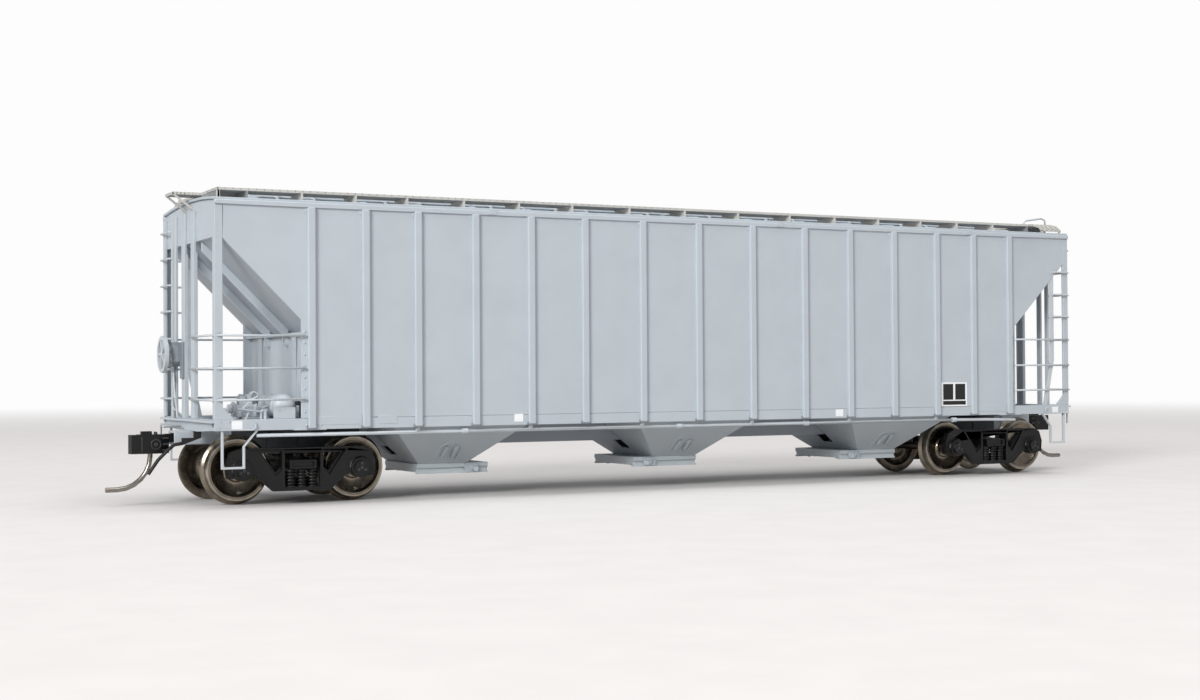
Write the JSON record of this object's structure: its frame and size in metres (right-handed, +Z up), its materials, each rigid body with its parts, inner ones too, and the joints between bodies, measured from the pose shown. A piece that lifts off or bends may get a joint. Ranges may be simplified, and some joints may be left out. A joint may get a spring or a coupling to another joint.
{
  "type": "model covered hopper car",
  "caption": "Scale model covered hopper car with hopper bays and gates below, roof hatches and walks, end ladders, sprung couplers and swivelling trucks that roll on rails.",
  "frame": {"origin": "middle of the car, on the floor plane that the wheel flanges stand on", "axes": "+X along the car, with the hand-brake end at -X; -Y is the side nearest the camera; +Z up"},
  "size_m": [0.2098, 0.0362, 0.0543],
  "materials": {
    "body_grey": "satin light blue-grey paint over moulded plastic",
    "fittings_grey": "satin light blue-grey paint over etched metal and wire",
    "brake_grey": "satin light grey moulded detail parts",
    "truck_black": "matte black engineering plastic",
    "coupler_black": "blackened die-cast metal",
    "wheel_metal": "burnished dark metal with brighter rims",
    "axle_steel": "dark turned metal",
    "pin_steel": "bright drawn wire",
    "hose_rubber": "flexible black rubber"
  },
  "bodies": {
    "car_body": {"air_hoses": "hose_rubber", "air_reservoir": "brake_grey", "body_bolsters": "body_grey", "brake_housing": "brake_grey", "brake_shelf": "brake_grey", "brake_wheel": "fittings_grey", "bulkheads": "body_grey", "centre_sill": "body_grey", "control_valve": "brake_grey", "cut_levers": "fittings_grey", "draft_boxes": "body_grey", "end_posts": "body_grey", "end_sheets": "body_grey", "end_sills": "body_grey", "gate_1": "body_grey", "gate_2": "body_grey", "gate_3": "body_grey", "grab_irons": "fittings_grey", "hatch_coaming": "body_grey", "hatch_covers": "body_grey", "hopper_1": "body_grey", "hopper_2": "body_grey", "hopper_3": "body_grey", "ladders": "fittings_grey", "ridge_sheets": "body_grey", "roof": "body_grey", "running_boards": "fittings_grey", "side_far": "body_grey", "side_near": "body_grey", "side_sills": "body_grey", "slope_sheets": "body_grey", "stirrup_steps": "fittings_grey", "train_line": "brake_grey"},
    "truck_b": {"brake_beams_b": "truck_black", "sideframes_b": "truck_black", "springs_b": "truck_black", "truck_bolster_b": "truck_black"},
    "truck_a": {"brake_beams_a": "truck_black", "sideframes_a": "truck_black", "springs_a": "truck_black", "truck_bolster_a": "truck_black"},
    "wheelset_b1": {"axle_b1": "axle_steel", "wheels_b1": "wheel_metal"},
    "wheelset_b2": {"axle_b2": "axle_steel", "wheels_b2": "wheel_metal"},
    "wheelset_a1": {"axle_a1": "axle_steel", "wheels_a1": "wheel_metal"},
    "wheelset_a2": {"axle_a2": "axle_steel", "wheels_a2": "wheel_metal"},
    "coupler_b": {"coupler_b": "coupler_black", "trip_pin_b": "pin_steel"},
    "coupler_a": {"coupler_a": "coupler_black", "trip_pin_a": "pin_steel"}
  },
  "joints": [
    {"name": "truck_b_swivel", "type": "hinge", "parent": "car_body", "child": "truck_b", "pos_m": [-0.07485, 0, 0.0082], "axis": [0, 0, 1], "range_deg": [-12, 12]},
    {"name": "wheelset_b1_roll", "type": "hinge", "parent": "truck_b", "child": "wheelset_b1", "pos_m": [-0.08505, 0, 0.00589], "axis": [0, 1, 0], "continuous": true},
    {"name": "wheelset_b2_roll", "type": "hinge", "parent": "truck_b", "child": "wheelset_b2", "pos_m": [-0.06465, 0, 0.00589], "axis": [0, 1, 0], "continuous": true},
    {"name": "coupler_b_swing", "type": "hinge", "parent": "car_body", "child": "coupler_b", "pos_m": [-0.0876, 0, 0.0112], "axis": [0, 0, 1], "range_deg": [-8, 8], "stiffness_Nm_per_rad": 0.002},
    {"name": "truck_a_swivel", "type": "hinge", "parent": "car_body", "child": "truck_a", "pos_m": [0.07485, 0, 0.0082], "axis": [0, 0, 1], "range_deg": [-12, 12]},
    {"name": "wheelset_a1_roll", "type": "hinge", "parent": "truck_a", "child": "wheelset_a1", "pos_m": [0.06465, 0, 0.00589], "axis": [0, 1, 0], "continuous": true},
    {"name": "wheelset_a2_roll", "type": "hinge", "parent": "truck_a", "child": "wheelset_a2", "pos_m": [0.08505, 0, 0.00589], "axis": [0, 1, 0], "continuous": true},
    {"name": "coupler_a_swing", "type": "hinge", "parent": "car_body", "child": "coupler_a", "pos_m": [0.0876, 0, 0.0112], "axis": [0, 0, 1], "range_deg": [-8, 8], "stiffness_Nm_per_rad": 0.002}
  ]
}
